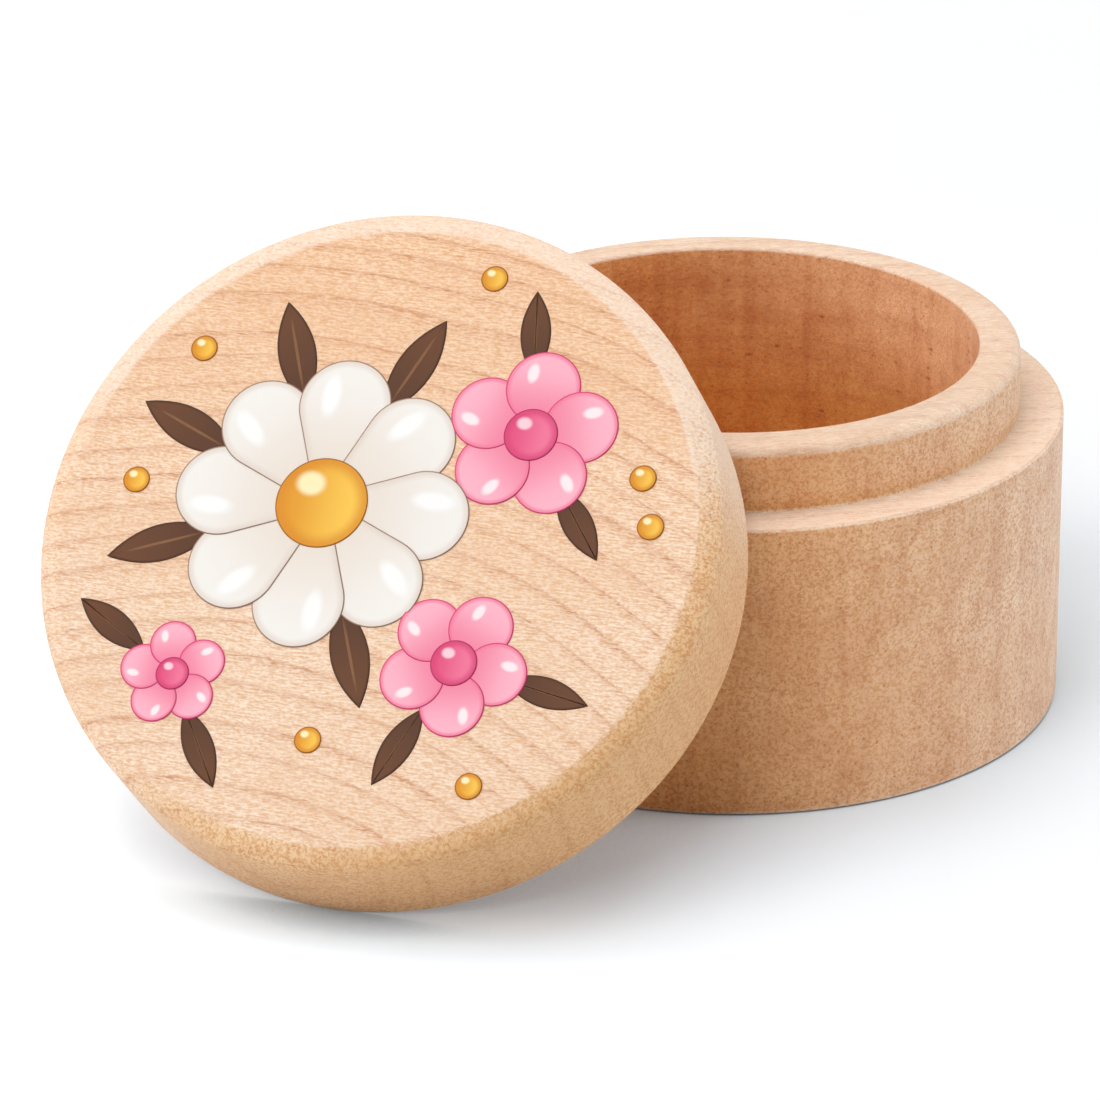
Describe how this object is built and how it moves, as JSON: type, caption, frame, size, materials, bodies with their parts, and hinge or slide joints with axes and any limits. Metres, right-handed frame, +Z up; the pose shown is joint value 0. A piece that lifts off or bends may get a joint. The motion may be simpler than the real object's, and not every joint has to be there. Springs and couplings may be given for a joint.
{
  "type": "keepsake box",
  "caption": "Round turned wooden keepsake box for milk teeth: a hollow base with a stepped rim, and a push-on lid with a printed flower design that leans on it.",
  "frame": {"origin": "centre of the base's flat underside, on the surface that the box stands on", "axes": "+Z up along the base's turning axis; -Y towards the viewer, where the lid leans; +X to the viewer's right"},
  "size_m": [0.0742, 0.0739, 0.0426],
  "materials": {
    "beech_base": "sanded, uncoated",
    "beech_lid": "sanded, uncoated",
    "white_ink": "cured ink film",
    "gold_ink": "cured ink film",
    "pink_ink": "cured ink film",
    "rose_ink": "cured ink film",
    "brown_ink": "cured ink film"
  },
  "bodies": {
    "base": {"box_base": "beech_base"},
    "lid": {"box_lid": "beech_lid", "ink_white_flower": "white_ink", "ink_gold_disc": "gold_ink", "ink_pink_blossoms": "pink_ink", "ink_blossom_discs": "rose_ink", "ink_gold_berries": "gold_ink", "ink_brown_leaves": "brown_ink"}
  },
  "joints": [
    {"name": "lid_lift", "type": "slide", "parent": "base", "child": "lid", "axis": [0, 0, 1], "range_m": [0, 0.06]}
  ]
}
